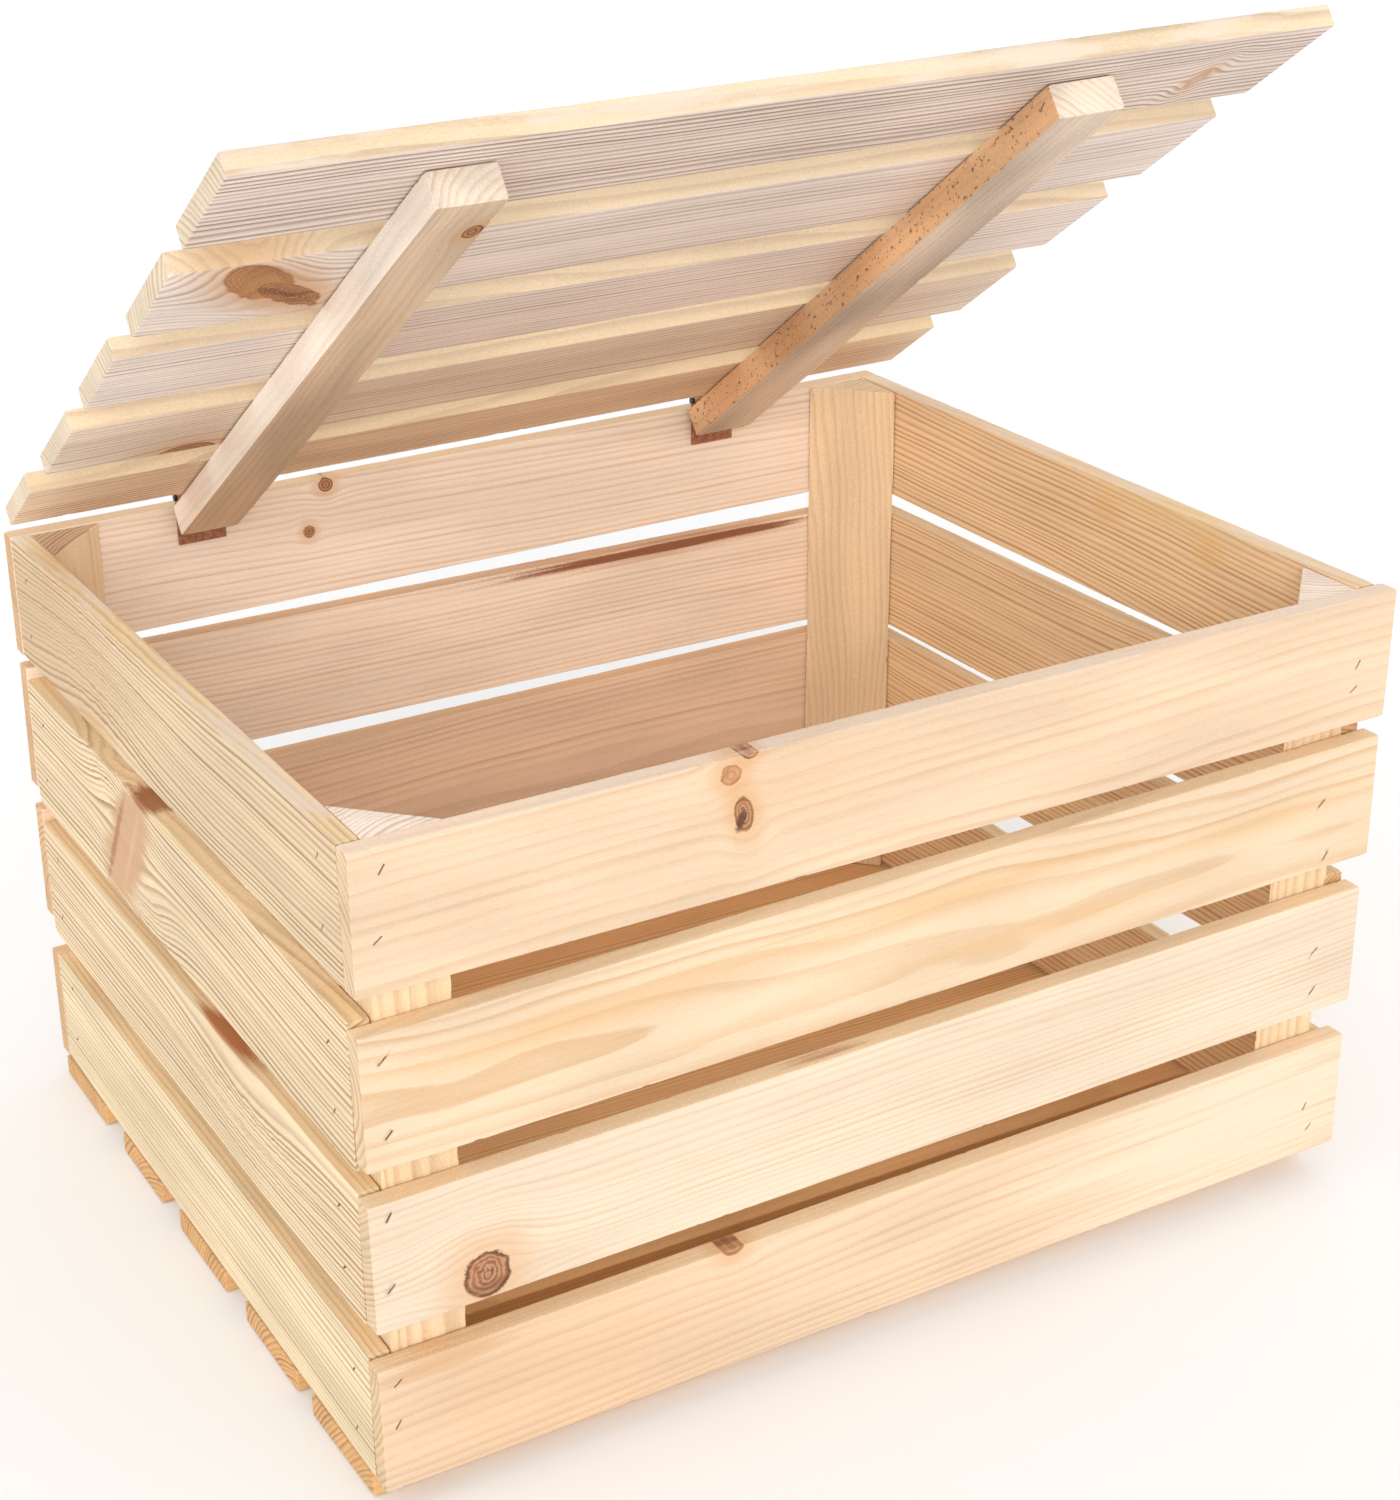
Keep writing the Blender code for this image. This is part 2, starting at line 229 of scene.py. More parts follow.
# Each family: pale and dark wood, end grain and its rings, ring spacing in mm, contrast, how sawn the
# faces are and the colour of the narrow edges.
# The rear, right, post and lid colours are painted paler and the front colours kept darker, as painted
# light that evens out the shade inside the crate and under the lid against the lit outside. The floor's
# orange is partly painted shade between the walls. The front and side edge colours are painted paler to
# make up for the shade on the slats' top faces.
FAMILIES = {
    "front": dict(pale="E4C8AA", dark="C49A72", end="E6CCA8", end_dark="C2986A",
                  ring=3.2, contrast=0.5, sawn=0.30, edge="EFD2AA"),
    "side": dict(pale="F0D9B4", dark="9C754E", end="E2C59A", end_dark="A67C4C",
                 ring=2.7, contrast=0.95, sawn=0.50, edge="F0D2A4"),
    "rear": dict(pale="FCE8D4", dark="D4A880", end="DDB78C", end_dark="A9743F",
                 ring=3.0, contrast=0.5, sawn=0.35, edge="E2B98E"),
    "right": dict(pale="FFE2B8", dark="CE9056", end="D9AF80", end_dark="A9743F",
                  ring=2.7, contrast=0.85, sawn=0.35, edge="E8CCA4"),
    "post": dict(pale="F4D8B2", dark="C89C6C", end="E6C8A4", end_dark="BE9468",
                 ring=2.8, contrast=0.5, sawn=0.9, edge="F4D8B2"),
    "floor": dict(pale="EBBE8A", dark="BE8A52", end="E4B47C", end_dark="9A6434",
                  ring=2.6, contrast=0.7, sawn=0.45, edge="E6B57C"),
    "lid": dict(pale="F9ECE1", dark="A68C7E", end="E8D6BC", end_dark="C0A482",
                ring=3.1, contrast=0.95, sawn=0.6, edge="E4C9A2", saw=0.3),
    "batten": dict(pale="EBD8BE", dark="C4996C", end="EADAC8", end_dark="D6B898",
                   ring=3.4, contrast=0.35, sawn=0.9, edge="EBD8BE"),
}
# What a family or a board may change: wander of the rings, knots and marks, slow change of tone, fibres,
# worn edges, dark specks and saw marks.
DEFAULTS = dict(wander=2.5, knots=(), swirls=(), streaks=(), patch=0.10, fibre=0.20, grey=0.0,
                specks=0.0, saw=0.9)


def knot_distance(tree, place, knot, cloud):
    """Squared distance from a knot's middle in the knot's own shape, and the distance across."""
    x, y, radius, length, lean = knot[:5]
    px, py, _ = tree.split(place)
    across = tree.math("SUBTRACT", py, y)
    away_x = tree.math("DIVIDE", tree.math("SUBTRACT", px, x), length)
    away_x = tree.total(away_x, tree.times(across, lean))
    ragged = tree.times(tree.centred(cloud), radius * KNOT_RAGGED)
    away_y = tree.math("ADD", across, ragged)
    return tree.total(tree.times(away_x, away_x), tree.times(away_y, away_y)), across


def bend_grain(tree, place, knot, cloud):
    """The place with its grain bent round a knot."""
    square, across = knot_distance(tree, place, knot, cloud)
    px, py, pz = tree.split(place)
    spread = 2 * (BEND_REACH * knot[2]) ** 2
    pull = tree.math("EXPONENT", tree.math("DIVIDE", square, -spread))
    bent = tree.math("SUBTRACT", py, tree.times(across, pull, BEND_STRENGTH))
    return tree.join(px, bent, pz)


def growth_rings(tree, place, look):
    """Late wood of each ring about the pith, from 0 to 1, and how strong the year's ring is."""
    seed = look["seed"]
    x, y, z = tree.split(place)
    sway = tree.times(tree.centred(tree.grain("slow", place, seed)), look["wander"] * SWAY)
    slope_y, slope_z = look["slope"]
    pith_y, pith_z = look["pith"]
    off_y = tree.total(y, tree.times(x, slope_y), sway, -pith_y)
    off_z = tree.total(z, tree.times(x, slope_z), tree.times(sway, SWAY_DEPTH), -pith_z)
    radius = tree.length(off_y, off_z)
    ripple = tree.times(tree.centred(tree.grain("wide", place, seed)), look["wander"] * RIPPLE)
    jitter = tree.times(tree.centred(tree.grain("fine", place, seed)), JITTER)
    ring = tree.math("DIVIDE", tree.total(radius, ripple, jitter), look["ring"])
    uneven = tree.noise(tree.join(tree.times(ring, UNEVEN_PACE), seed, 0.0), 1.0)
    ring = tree.total(ring, tree.times(uneven, UNEVEN_RINGS))
    phase = tree.math("FRACT", ring)
    year = tree.total(tree.math("FLOOR", ring), seed)
    chance = tree.add("ShaderNodeTexWhiteNoise", {"W": year}, noise_dimensions="1D").outputs[0]
    strong = tree.math("MULTIPLY_ADD", chance, 1 - WEAKEST_YEAR, WEAKEST_YEAR)
    late = tree.times(tree.smooth(phase, *LATE_START), tree.smooth(phase, *LATE_END))
    return late, strong


def skin_masks(tree, look):
    """Where a surface is end grain or a narrow edge, and how sawn it is, from its own direction."""
    nx, ny, _ = tree.split(tree.coordinates.outputs["Normal"])
    end = tree.smooth(tree.math("ABSOLUTE", nx), *FACING)
    edge = tree.smooth(tree.math("ABSOLUTE", ny), *FACING)
    sawn = tree.math("MAXIMUM", tree.times(edge, EDGE_SAWN), look["sawn"])
    return end, edge, tree.math("MAXIMUM", sawn, end)


def wood_colour(tree, look, wood):
    """Rings and fibres on the faces, end grain on the ends and plainer wood on the edges."""
    share = tree.times(wood.late, wood.strong, look["contrast"])
    share = tree.math("MULTIPLY_ADD", tree.centred(wood.thread), look["fibre"] * THREAD_SHADE, share)
    share = tree.math("MULTIPLY_ADD", tree.centred(wood.fibre), look["fibre"] * FIBRE_SHADE, share)
    share = tree.add("ShaderNodeClamp", {0: share}).outputs[0]
    colour = tree.mix(share, srgb(look["pale"]), srgb(look["dark"]))
    end_share = tree.times(wood.late, END_RINGS, wood.strong)
    end_colour = tree.mix(end_share, srgb(look["end"]), srgb(look["end_dark"]))
    colour = tree.mix(wood.end, colour, end_colour)
    edge_colour = tree.mix(tree.times(share, EDGE_RINGS), srgb(look["edge"]), srgb(look["dark"]))
    return tree.mix(tree.times(wood.edge, EDGE_TINT), colour, edge_colour)


def shade(tree, look, wood, colour):
    """Slow changes of tone, pores, grit on sawn wood and bright torn fibres."""
    slow = tree.grain("patch", wood.flat, look["seed"])
    tone = tree.smooth(slow, 0.25, 0.75, 1.0 - look["patch"], 1.0 + look["patch"] * 0.4)
    tone = tree.math("MULTIPLY_ADD", wood.pore, -0.10, tone)
    grit = tree.times(tree.centred(wood.rough), wood.sawn, 0.50)
    fuzz = tree.grain("fuzz", wood.flat, look["seed"])
    fuzz = tree.smooth(fuzz, 0.58, 0.72, 0.0, 0.16)
    tone = tree.total(tone, grit, tree.times(fuzz, tree.math("ADD", wood.sawn, 0.25)))
    return tree.mix(1.0, colour, tree.join(tone, tone, tone), "MULTIPLY")


def draw_knot(tree, wood, colour, knot, reach):
    """A knot: stained wood round it, a ringed heart with dark threads and cracks, and an outline."""
    radius, tint, outline = knot[2], knot[5], knot[6]
    ragged = tree.total(reach, tree.times(tree.centred(wood.cloud), 0.42),
                        tree.times(tree.centred(wood.rough), 0.22))
    colour = tree.mix(tree.smooth(ragged, 0.95, 2.8, 0.45, 0.0), colour, srgb(KNOT_HALO))
    inside = tree.smooth(ragged, 0.93, 1.05, 1.0, 0.0)
    turns = tree.total(tree.times(ragged, 6.0 + radius * 2.2), tree.times(wood.cloud, 3.0))
    rings = tree.smooth(tree.math("SINE", turns), -0.7, 0.9, 0.45, 1.0)
    heart = tree.mix(rings, srgb(KNOT_PALE), srgb(tint))
    heart = tree.mix(tree.smooth(ragged, 0.0, 0.85, 0.0, 0.35), heart, srgb(KNOT_WARM))
    heart = tree.mix(tree.smooth(wood.thread, 0.50, 0.66, 0.0, 0.55), heart, srgb(KNOT_THREAD))
    rim = tree.times(tree.smooth(ragged, 0.80, 0.93), inside,
                     tree.smooth(wood.cloud, 0.36, 0.52, 0.35, 1.0))
    heart = tree.mix(tree.times(rim, outline), heart, srgb(KNOT_OUTLINE))
    crack = tree.math("ABSOLUTE", tree.math("SUBTRACT", wood.rough, 0.47))
    crack = tree.times(tree.smooth(crack, 0.0, 0.018, 1.0, 0.0),
                       tree.smooth(ragged, 0.50, 0.80, 1.0, 0.0))
    heart = tree.mix(tree.times(crack, 0.7), heart, srgb(KNOT_CRACK))
    return tree.mix(inside, colour, heart)


def draw_streak(tree, wood, colour, streak):
    """A soft-edged mark: bark, resin, or a paler or darker part of the board."""
    x0, y0, half_length, half_width, strength, tint, lean, fade = streak
    fx, fy, _ = tree.split(wood.flat)
    across = tree.math("SUBTRACT", fy, y0)
    along = tree.math("MULTIPLY_ADD", across, -lean, tree.math("SUBTRACT", fx, x0))
    away = tree.length(tree.math("DIVIDE", along, half_length), tree.math("DIVIDE", across, half_width))
    away = tree.total(away, tree.times(tree.centred(wood.thread), 1.3),
                      tree.times(tree.centred(wood.rough), 0.5))
    return tree.mix(tree.smooth(away, fade, 1.0, strength, 0.0), colour, srgb(tint))


def draw_wear(tree, look, wood, colour):
    """Weathered patches and dark specks on the narrow edges."""
    if look["grey"]:
        weather = tree.grain("weather", wood.flat, look["seed"])
        worn = tree.times(tree.smooth(weather, 0.42, 0.60), wood.edge, look["grey"])
        colour = tree.mix(worn, colour, srgb(WORN))
    if look["specks"]:
        spot = tree.grain("spot", wood.flat, look["seed"])
        spots = tree.times(tree.smooth(spot, 0.60, 0.66), wood.edge, look["specks"])
        colour = tree.mix(spots, colour, srgb(SPECK))
    return colour


def relief(tree, look, wood):
    """Raised late wood, fibres, open pores, and the torn skin and saw marks of sawn wood."""
    saw = tree.grain("saw", wood.flat, look["seed"])
    height = tree.total(tree.times(wood.late, 0.25), tree.times(wood.fibre, 0.55),
                        tree.times(wood.pore, -0.35))
    torn = tree.total(tree.times(wood.rough, 1.6), tree.times(saw, look["saw"]))
    height = tree.math("MULTIPLY_ADD", tree.times(torn, wood.sawn), 1.0, height)
    inputs = {"Strength": 0.55, "Distance": 0.25 * MM, "Height": height}
    return tree.add("ShaderNodeBump", inputs).outputs[0]


def pine(name, look):
    """Bare pine: growth rings about a pith beside the board, knots, fibres, and sawn or planed skin."""
    tree = Tree(name)
    seed = look["seed"]
    flat = place = tree.place()
    cloud = tree.grain("cloud", flat, seed)
    for mark in (*look["knots"], *look["swirls"]):
        place = bend_grain(tree, place, mark, cloud)
    late, strong = growth_rings(tree, place, look)
    end, edge, sawn = skin_masks(tree, look)
    wood = SimpleNamespace(
        flat=flat, cloud=cloud, late=late, strong=strong, end=end, edge=edge, sawn=sawn,
        fibre=tree.grain("fibre", place, seed),
        thread=tree.grain("thread", place, seed),
        rough=tree.grain("rough", flat, seed),
        pore=tree.smooth(tree.grain("pore", flat, seed), 0.70, 0.80))
    colour = shade(tree, look, wood, wood_colour(tree, look, wood))
    for knot in look["knots"]:
        square, _ = knot_distance(tree, flat, knot, cloud)
        reach = tree.math("DIVIDE", tree.math("SQRT", square), knot[2])
        colour = draw_knot(tree, wood, colour, knot, reach)
    for streak in look["streaks"]:
        colour = draw_streak(tree, wood, colour, streak)
    colour = draw_wear(tree, look, wood, colour)
    roughness = tree.smooth(tree.times(late, strong), 0.0, 1.0, 0.72, 0.56)
    tree.feed(tree.shader.inputs["Base Color"], colour)
    tree.feed(tree.shader.inputs["Roughness"], roughness)
    tree.feed(tree.shader.inputs["Normal"], relief(tree, look, wood))
    tree.shader.inputs["Specular IOR Level"].default_value = 0.32
    return tree.material


def metal(name, colour, worn, roughness):
    """Pressed steel with a worn finish."""
    tree = Tree(name)
    place = tree.place()
    cloud = tree.noise(tree.stretch(place, 0.35, 0.35, 0.35), 4.0, 0.6)
    brushed = tree.noise(tree.stretch(place, 3.0, 3.0, 0.15), 2.0)
    share = tree.smooth(tree.total(tree.times(cloud, 0.7), tree.times(brushed, 0.4)), 0.45, 0.72)
    tree.feed(tree.shader.inputs["Base Color"], tree.mix(share, srgb(colour), srgb(worn)))
    gloss = tree.smooth(cloud, 0.2, 0.8, roughness + 0.12, roughness - 0.08)
    tree.feed(tree.shader.inputs["Roughness"], gloss)
    tree.shader.inputs["Metallic"].default_value = 1.0
    bump = tree.add("ShaderNodeBump", {"Strength": 0.3, "Distance": 0.05 * MM, "Height": brushed})
    tree.feed(tree.shader.inputs["Normal"], bump.outputs[0])
    return tree.material


# ---------------------------------------------------------------- board meshes

# In mm: steps round an arris, the flat margin beside it, the spacing of points across a board and of
# rows along it, the margin of those rows at its ends, and how far its ends are rounded.
ARC_STEPS = 3
ARRIS_MARGIN = 1.6
POINT_STEP = 4.5
ROW_STEP = 4.0
ROW_MARGIN = 2.5
END_ROUND = 0.45
# Arris radius: mean, slow and quick unevenness with their pace along the board, and its limits.
ARRIS_MEAN = 0.55
ARRIS_SLOW = (0.28, 0.045)
ARRIS_QUICK = (0.16, 0.35)
ARRIS_LIMITS = (0.15, 1.5)
# One chip of an arris for each of these lengths of board.
CHIP_STEP = 22
# Unevenness of the faces: depth, and pace along and across the board.
BOW = (0.10, 0.008, 0.03)
SKIN = (0.05, 0.12, 0.5)
SAW = (0.06, 0.8, 0.9)
# End faces: loops of points as shares of the way out from the middle, how deep they lie, the pace of
# that, and the depth of the middle itself.
END_LOOPS = (0.93, 0.8, 0.6, 0.35)
END_DEPTH = 0.10
END_PACE = 0.8
END_MIDDLE = 0.12
# Edges that turn by more degrees than this are shaded sharp.
SHARP_ANGLE = 50


def outline(corners):
    """Points round a convex outline whose corners are rounded by a radius that is set later.

    Each is its place for no radius, its move for each unit of radius, its inward direction and
    its corner's number, or -1 along a side.
    """
    corners = [np.array(c, float) for c in corners]
    count = len(corners)
    base, move, inward, owner = [], [], [], []
    for i, corner in enumerate(corners):
        before, after = corners[i - 1], corners[(i + 1) % count]
        into = (corner - before) / np.linalg.norm(corner - before)
        out = (after - corner) / np.linalg.norm(after - corner)
        turn = math.acos(np.clip(into @ out, -1, 1))
        normal = np.array([-into[1], into[0]])
        for k in range(ARC_STEPS + 1):
            angle = turn * k / ARC_STEPS
            cos, sin = math.cos(angle), math.sin(angle)
            here = np.array([[cos, -sin], [sin, cos]]) @ normal
            base.append(corner)
            move.append(-into * math.tan(turn / 2) + normal - here)
            inward.append(here)
            owner.append(i)
        run = np.linalg.norm(after - corner)
        pieces = max(2, round(run / POINT_STEP))
        margin = min(ARRIS_MARGIN, run * 0.2)
        side = np.array([-out[1], out[0]])
        for k in range(pieces + 1):
            share = (margin + (run - 2 * margin) * k / pieces) / run
            base.append(corner + (after - corner) * share)
            move.append(np.zeros(2))
            inward.append(side)
            owner.append(-1)
    return np.array(base), np.array(move), np.array(inward), np.array(owner)


def arris_chips(chance, length, count):
    """Chips of a board's arrises: place along it, which arris, reach and depth."""
    half = length / 2
    chips = [(chance.uniform(-half, half), chance.randrange(count), chance.uniform(0.8, 2.6),
              chance.uniform(0.25, 0.9)) for _ in range(int(length / CHIP_STEP))]
    chips += [(side * half, corner, chance.uniform(1.0, 3.0), chance.uniform(0.3, 1.0))
              for side in (-1, 1) for corner in range(count)]
    return chips


def board_rows(half, chips):
    """Places of the rows along a board, closer at its chips, and how far its rounded ends draw in."""
    spots = set(np.round(np.linspace(-half + ROW_MARGIN, half - ROW_MARGIN,
                                     int(2 * half / ROW_STEP)), 3))
    for at, _, reach, _ in chips:
        for step in (-1.0, -0.45, 0.0, 0.45, 1.0):
            if abs(at + step * reach) < half - 1.0:
                spots.add(round(at + step * reach, 3))
    turns = [(END_ROUND * (1 - math.sin(a)), END_ROUND * (1 - math.cos(a)))
             for a in (0.0, math.pi / 6, math.pi / 3, math.pi / 2)]
    xs = [-half + d for _, d in turns] + sorted(spots) + [half - d for _, d in reversed(turns)]
    shrink = [s for s, _ in turns] + [0.0] * len(spots) + [s for s, _ in reversed(turns)]
    return np.array(xs), np.array(shrink)


def arris_radius(xs, corner, chips, seed, rough):
    """One arris's radius at each row: uneven, and larger where it is chipped."""
    slow_depth, slow_pace = ARRIS_SLOW
    quick_depth, quick_pace = ARRIS_QUICK
    rows = len(xs)
    slow = np.stack([xs * slow_pace, np.full(rows, corner * 7.3), np.full(rows, 0.5)], axis=-1)
    quick = np.stack([xs * quick_pace, np.full(rows, corner * 3.1), np.full(rows, 0.2)], axis=-1)
    own = ARRIS_MEAN + slow_depth * value_noise(slow, seed)
    own = own + quick_depth * rough * value_noise(quick, seed + 5)
    for at, which, reach, depth in chips:
        if which == corner:
            own = own + depth * np.clip(1 - ((xs - at) / reach) ** 2, 0, 1)
    return np.clip(own, *ARRIS_LIMITS)


def uneven(grid, seed, depth, along, across):
    """A sinking between nothing and twice a depth over a board's faces."""
    return depth + depth * value_noise(grid * np.array([along, across, across]), seed)


def close_end(verts, faces, loop, middle, last, side, half, seed):
    """Close one end of a board with loops of points that lie unevenly deep."""
    columns = len(last)

    def join(ring, points):
        for j in range(columns):
            k = (j + 1) % columns
            face = (last[j], last[k], points[k], points[j]) if ring else (last[j], last[k], points[0])
            faces.append(face if side > 0 else face[::-1])

    for share in END_LOOPS:
        flat = middle + (loop - middle) * share
        place = np.concatenate([np.full((columns, 1), side * 3.0), flat * END_PACE], axis=-1)
        depth = uneven(place, seed + 7, END_DEPTH, 1, 1)
        start = len(verts)
        verts += [(side * (half - d), p[0], p[1]) for p, d in zip(flat, depth)]
        points = list(range(start, start + columns))
        join(True, points)
        last = points
    verts.append((side * (half - END_MIDDLE), *middle))
    join(False, [len(verts) - 1])


def board_mesh(name, corners, length, seed, rough):
    """A sawn board along X: rounded arrises of uneven radius, small chips, rough ends and faces."""
    half = length / 2
    chips = arris_chips(random.Random(seed), length, len(corners))
    xs, shrink = board_rows(half, chips)
    base, move, inward, owner = outline(corners)
    rows, columns = len(xs), len(base)
    radius = np.zeros((rows, columns))
    for corner in range(len(corners)):
        radius[:, owner == corner] = arris_radius(xs, corner, chips, seed, rough)[:, None]
    flat = base[None] + radius[..., None] * move[None]
    along = np.broadcast_to(xs[:, None, None], (rows, columns, 1))
    grid = np.concatenate([along, flat], axis=-1)
    bow, skin, saw = (uneven(grid, seed + number, *depth_and_pace)
                      for number, depth_and_pace in ((1, BOW), (2, SKIN), (3, SAW)))
    inset = bow + skin * (0.4 + rough) + saw * rough + shrink[:, None]
    grid[..., 1:] += inset[..., None] * inward[None]
    verts = [tuple(v) for v in grid.reshape(-1, 3)]
    faces = []
    for i in range(rows - 1):
        for j in range(columns):
            k = (j + 1) % columns
            here, above = i * columns, (i + 1) * columns
            faces.append((here + j, here + k, above + k, above + j))
    for row, side in ((0, -1), (rows - 1, 1)):
        last = list(range(row * columns, (row + 1) * columns))
        close_end(verts, faces, grid[row, :, 1:], flat[row].mean(axis=0), last, side, half, seed)
    mesh = bpy.data.meshes.new(name)
    mesh.from_pydata([tuple(c * MM for c in v) for v in verts], [], faces)
    mesh.shade_smooth()
    mesh.set_sharp_from_angle(angle=math.radians(SHARP_ANGLE))
    return mesh


def node_frame(node, outward, along):
    """Centre, axes and size of a straight board's CAD solid, from its two largest faces' directions."""
    mesh = NODES[node].data
    groups = {}
    for face in mesh.polygons:
        key = tuple(round(c, 2) + 0.0 for c in face.normal)
        if key < tuple(-c + 0.0 for c in key):
            key = tuple(-c + 0.0 for c in key)
        held = groups.setdefault(key, [0.0, face.normal.copy()])
        held[0] += face.area
    ranked = sorted(groups.values(), key=lambda g: -g[0])
    axis_z = ranked[0][1].normalized()
    axis_y = next(n for _, n in ranked[1:] if abs(n.normalized().dot(axis_z)) < 0.02).normalized()
    axis_x = axis_y.cross(axis_z).normalized()
    if axis_z.dot(Vector(outward)) < 0:
        axis_z.negate()
    if axis_x.dot(Vector(along)) < 0:
        axis_x.negate()
    axis_y = axis_z.cross(axis_x)
    points = np.array([v.co for v in mesh.vertices])
    axes = np.array([axis_x, axis_y, axis_z])
    spread = points @ axes.T
    low, high = spread.min(axis=0), spread.max(axis=0)
    centre = Vector(axes.T @ ((low + high) / 2))
    matrix = Matrix((axis_x, axis_y, axis_z)).transposed().to_4x4()
    matrix.translation = centre
    return matrix, (high - low) / MM


# ---------------------------------------------------------------- staples

# Staples, in mm: half the crown's length, how deep it is sunk, the wire's radius and flattening, the
# depth of its middle and of its legs; then the pit's half length, half width, height and depth, the
# steps of its round ends and how much narrower its bottom is.
STAPLE_HALF = 2.2
STAPLE_SINK = 0.22
WIRE_RADIUS = 0.24
WIRE_FLATNESS = 1.45
CROWN_DEPTH = 0.3
LEG_DEPTH = 2.6
PIT_HALF = 2.55
PIT_WIDTH = 0.60
PIT_HEIGHT = 1.0
PIT_DEPTH = 0.75
PIT_STEPS = 6
PIT_TAPER = (0.96, 0.75)
# Staple layout: inset from a wall slat's ends, its scatter, and levels as shares of half the width.
WALL_INSET = {"front": 13, "rear": 13, "side": 17, "right": 17}
WALL_LEVELS = (0.52, -0.45)
LID_PLACES = (-152, 132)
LID_LEVELS = (0.5, -0.5)
FLOOR_INSET = 5.5
FLOOR_LEVELS = (0.55, -0.5)
SKIN_DEPTH = 0.12


def evaluated(thing):
    """The mesh of an object with its modifiers or bevel applied; the object is removed."""
    mesh = bpy.data.meshes.new_from_object(thing.evaluated_get(bpy.context.evaluated_depsgraph_get()))
    bpy.data.objects.remove(thing, do_unlink=True)
    return mesh


def wire_staple():
    """One staple: a flattened wire with a straight crown at the origin and two bent legs."""
    curve = bpy.data.curves.new("staple", "CURVE")
    curve.dimensions = "3D"
    curve.bevel_depth = WIRE_RADIUS * MM
    curve.bevel_resolution = 2
    curve.use_fill_caps = True
    half = STAPLE_HALF
    side = [(-half, -LEG_DEPTH), (-half, -0.9), (-half + 0.12, -0.5), (-half + 0.45, -CROWN_DEPTH)]
    crown = [(-half / 3, -CROWN_DEPTH), (half / 3, -CROWN_DEPTH)]
    path = side + crown + [(-x, z) for x, z in reversed(side)]
    spline = curve.splines.new("POLY")
    spline.points.add(len(path) - 1)
    for point, (x, z) in zip(spline.points, path):
        point.co = (x * MM, 0, z * MM, 1)
    thing = bpy.data.objects.new("staple", curve)
    SCENE.collection.objects.link(thing)
    mesh = evaluated(thing)
    mesh.transform(Matrix.Diagonal((1, WIRE_FLATNESS, 1, 1)))
    return mesh


def pit_mesh():
    """A round-ended slot that is cut where a staple is driven in."""
    shape = bmesh.new()
    rim = []
    for end in (1, -1):
        for k in range(PIT_STEPS + 1):
            angle = math.pi * (k / PIT_STEPS - 0.5)
            x = end * (PIT_HALF - PIT_WIDTH + PIT_WIDTH * math.cos(angle))
            rim.append((x * MM, end * PIT_WIDTH * math.sin(angle) * MM))
    top = [shape.verts.new((x, y, PIT_HEIGHT * MM)) for x, y in rim]
    face = shape.faces.new(top)
    low = bmesh.ops.extrude_face_region(shape, geom=[face])["geom"]
    for vert in low:
        if isinstance(vert, bmesh.types.BMVert):
            vert.co.z = -PIT_DEPTH * MM
            vert.co.x *= PIT_TAPER[0]
            vert.co.y *= PIT_TAPER[1]
    bmesh.ops.recalc_face_normals(shape, faces=shape.faces)
    mesh = bpy.data.meshes.new("pit")
    shape.to_mesh(mesh)
    shape.free()
    return mesh


def copies(name, pattern, matrices):
    """One mesh of a pattern's copies."""
    shape = bmesh.new()
    for matrix in matrices:
        single = pattern.copy()
        single.transform(matrix)
        shape.from_mesh(single)
        bpy.data.meshes.remove(single)
    mesh = bpy.data.meshes.new(name)
    shape.to_mesh(mesh)
    shape.free()
    return mesh


def cut_pits(mesh, pits):
    """The board with its staple pits cut out."""
    board = bpy.data.objects.new("board", mesh)
    cutter = bpy.data.objects.new("pits", pits)
    for thing in (board, cutter):
        SCENE.collection.objects.link(thing)
    modifier = board.modifiers.new("pits", "BOOLEAN")
    modifier.operation = "DIFFERENCE"
    modifier.object = cutter
    name = mesh.name
    cut = evaluated(board)
    cut.name = name
    bpy.data.objects.remove(cutter, do_unlink=True)
    return cut


def staple_places(node, size, seed):
    """Where a board's staples are: local matrices, crown up on the outer face."""
    family = family_of(node)
    chance = random.Random(seed)
    half_x, half_y, half_z = size[0] / 2, size[1] / 2, size[2] / 2
    face = 1
    spots = []
    if family in WALL_INSET:
        inset = WALL_INSET[family]
        spots = [(end * (half_x - inset - chance.uniform(-2, 3)),
                  level * half_y + chance.uniform(-3, 3)) for end in (-1, 1) for level in WALL_LEVELS]
        spots = STAPLES.get(node, spots)
    elif family == "lid":
        spots = [(x + chance.uniform(-5, 5), level * half_y + chance.uniform(-3, 3))
                 for x in LID_PLACES for level in LID_LEVELS]
    elif family == "floor":
        face = -1
        spots = [(end * (half_x - FLOOR_INSET + chance.uniform(-0.8, 0.8)),
                  level * half_y + chance.uniform(-3, 3)) for end in (-1, 1) for level in FLOOR_LEVELS]
    flip = Matrix.Rotation(0 if face > 0 else math.pi, 4, "X")
    skin = face * (half_z - SKIN_DEPTH)
    places = []
    for x, y in spots:
        turn = math.radians(chance.uniform(36, 62))
        if family == "floor":
            turn = math.radians(90 + chance.uniform(-12, 12))
        spin = Matrix.Rotation(turn, 4, "Z")
        places.append(Matrix.Translation((x * MM, y * MM, skin * MM)) @ flip @ spin)
    return places


# ---------------------------------------------------------------- what each board looks like

# Staples that can be seen one by one on the front wall: along and across from the slat's centre.
STAPLES = {
    "front_slat_1": [(-238, 21), (-241, -7.5), (233, -1.5), (232, -13)],
    "front_slat_2": [(-241.5, 18), (-241, -15), (220.5, 3.5), (225.5, -24)],
    "front_slat_3": [(-242, 23), (-243, -10), (226, 3), (227, -18)],
    "front_slat_4": [(-242, 22), (-243, 2), (230.5, -4), (234, -16.5)],
}

